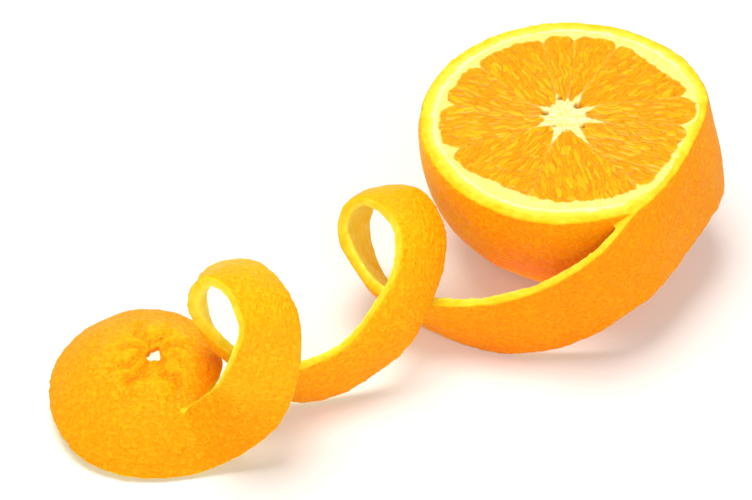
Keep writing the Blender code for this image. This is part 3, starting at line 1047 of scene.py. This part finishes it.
def shape_pulp(builder):
    """Moves the spun disc's points to their places and stores what the material needs."""
    layers = {name: builder.verts.layers.float.new(name) for name in STORED_NUMBERS}
    grain_layer = builder.verts.layers.float_vector.new("along_sacs")
    reaches = {}
    for vert in builder.verts:
        turn = math.atan2(vert.co.y, vert.co.x) % math.tau
        spoke = round(turn / math.tau * SPOKES) % SPOKES
        if spoke not in reaches:
            reaches[spoke] = pulp_reach(math.tau * spoke / SPOKES)
        reach = reaches[spoke]
        level = math.hypot(vert.co.x, vert.co.y)
        down = -vert.co.z
        radius = level * reach
        height, pith, edge, tone, hollow, grain = cut_face(turn, radius, reach)
        on_cut = CUT @ Vector((radius * math.cos(turn), radius * math.sin(turn), height))
        if down < SIDE_BEGINS:
            place = on_cut
        else:
            rim = (on_cut - HALF_CENTRE).normalized()
            aim = rim.slerp(Vector((0, 0, -1)), down, rim)
            place = HALF_CENTRE + aim * min(PULP_RADIUS, wall_distance(HALF_CENTRE, aim) + GROWN_IN)
        near_rind = fade(radius - reach, *RIM_COLOURED)
        for name, value in zip(STORED_NUMBERS, (pith, edge, tone, hollow, near_rind)):
            vert[layers[name]] = value
        vert[grain_layer] = grain
        vert.co = place * MM
    bmesh.ops.remove_doubles(builder, verts=builder.verts, dist=POLE_MERGE * MM)


shape_pulp(pulp_net)
pulp = finished_piece(pulp_net, "orange_pulp")
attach(pulp, "root")
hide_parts("flesh")
print("orange_pulp:", len(pulp.data.polygons), "faces")

# %% [markdown]
# ## Material: wet cut pulp
#
# Cut sacs are wet and clear, so the light goes in and comes back deep orange, with a soft sheen on
# each sac's crown and darker lines in the grooves. The stored numbers drive the colour, and a fine
# noise stretched along the sacs adds the fibres that the net is too coarse for. The pith of the core
# is matt and nearly white, and the pith at the rind is yellower.

# %% The pulp's colours
SAC_COLOURS = ((0.15, "#E09A04"), (0.45, "#E8A807"), (0.7, "#ECB20C"), (0.95, "#F2C41C"))
GROOVE_TINTS = ((0.0, "#F2D0A0"), (0.3, "#FBF0E0"), (0.6, "#FFFFFF"))
CORE_COLOURS = ((0.35, "#E4CC62"), (0.5, "#EEE294"), (0.65, "#F6F0BC"))
RIM_COLOURS = ((0.3, "#F8E25C"), (0.7, "#FFF090"))
HOLLOW_BROWN = "#CC7A1C"
FIBRES_SHOWN = 0.9  # how far the fibres move a sac's tone
TONE_RANGE = 0.53  # brings the sum of both to 0 to 1
GROOVES_SHOWN = 0.8
MOTTLES_PER_MM = 1.3


def pulp_colour(material, stored, fibres):
    """The colour of the juice sacs, darker in the grooves between them."""
    tone = add_node(
        material, "ShaderNodeMath", {"operation": "MULTIPLY_ADD"},
        _0=fibres, _1=FIBRES_SHOWN, _2=stored["sac_tone"],
    ).outputs["Value"]
    even_tone = add_node(
        material, "ShaderNodeMath", {"operation": "MULTIPLY"}, _0=tone, _1=TONE_RANGE
    ).outputs["Value"]
    sacs = add_node(material, "ShaderNodeValToRGB", {"stops": SAC_COLOURS}, Fac=even_tone).outputs["Color"]
    grooves = add_node(
        material, "ShaderNodeValToRGB", {"stops": GROOVE_TINTS}, Fac=stored["sac_edge"]
    ).outputs["Color"]
    return add_node(
        material, "ShaderNodeMix", {"data_type": "RGBA", "blend_type": "MULTIPLY"},
        _0=GROOVES_SHOWN, _6=sacs, _7=grooves,
    ).outputs[2]


def pith_colour(material, stored, grain):
    """The colour of the pith: pale in the core, and yellower at the rind."""
    mottle = add_node(
        material, "ShaderNodeTexNoise", Vector=grain, Scale=MOTTLES_PER_MM, Detail=2.0
    ).outputs["Fac"]
    core = add_node(material, "ShaderNodeValToRGB", {"stops": CORE_COLOURS}, Fac=mottle).outputs["Color"]
    rim = add_node(material, "ShaderNodeValToRGB", {"stops": RIM_COLOURS}, Fac=mottle).outputs["Color"]
    return add_node(
        material, "ShaderNodeMix", {"data_type": "RGBA"}, _0=stored["near_rind"], _6=core, _7=rim
    ).outputs[2]


print("colours of the sacs:", [stop[1] for stop in SAC_COLOURS])

# %% Make the pulp material
PULP_ROUGHNESS = (0.28, 0.7)  # of the wet sacs and of the pith
FIBRES_PER_MM = 1.0  # the place along the sacs is stored in millimetres
FIBRE_STRETCH = (0.35, 1.6, 1.0)  # and drawn out, as the fibres run along the sacs
FIBRE_RELIEF = 0.3  # mm
PULP_GLOW_REACH = 1.5


def pulp_material():
    material, shader = new_material("wet_orange_pulp")
    stored = {}
    for name in STORED_NUMBERS:
        stored[name] = add_node(material, "ShaderNodeAttribute", {"attribute_name": name}).outputs["Fac"]
    place = add_node(material, "ShaderNodeAttribute", {"attribute_name": "along_sacs"}).outputs["Vector"]
    grain = add_node(material, "ShaderNodeMapping", Vector=place, Scale=FIBRE_STRETCH).outputs["Vector"]
    fibres = add_node(
        material, "ShaderNodeTexNoise", Vector=grain, Scale=FIBRES_PER_MM, Detail=3.0, Roughness=0.55
    ).outputs["Fac"]
    sacs = pulp_colour(material, stored, fibres)
    pith = pith_colour(material, stored, grain)
    with_pith = add_node(
        material, "ShaderNodeMix", {"data_type": "RGBA"}, _0=stored["pith"], _6=sacs, _7=pith
    ).outputs[2]
    colour = add_node(
        material, "ShaderNodeMix", {"data_type": "RGBA"},
        _0=stored["hollow"], _6=with_pith, _7=linear(HOLLOW_BROWN),
    ).outputs[2]
    link(material, colour, shader, "Base Color")
    bump = add_node(
        material, "ShaderNodeBump", Height=fibres, Strength=0.3, Distance=FIBRE_RELIEF * MM
    ).outputs["Normal"]
    link(material, bump, shader, "Normal")
    roughness = add_node(
        material, "ShaderNodeMapRange",
        Value=stored["pith"], To_Min=PULP_ROUGHNESS[0], To_Max=PULP_ROUGHNESS[1],
    ).outputs["Result"]
    link(material, roughness, shader, "Roughness")
    shader.inputs["IOR"].default_value = 1.36
    shader.inputs["Specular IOR Level"].default_value = 0.22
    shader.inputs["Subsurface Weight"].default_value = 0.2
    shader.inputs["Subsurface Radius"].default_value = (1.0, 0.5, 0.1)
    shader.inputs["Subsurface Scale"].default_value = PULP_GLOW_REACH * MM
    return material


pulp.data.materials.append(pulp_material())
print("material:", pulp.data.materials[0].name)
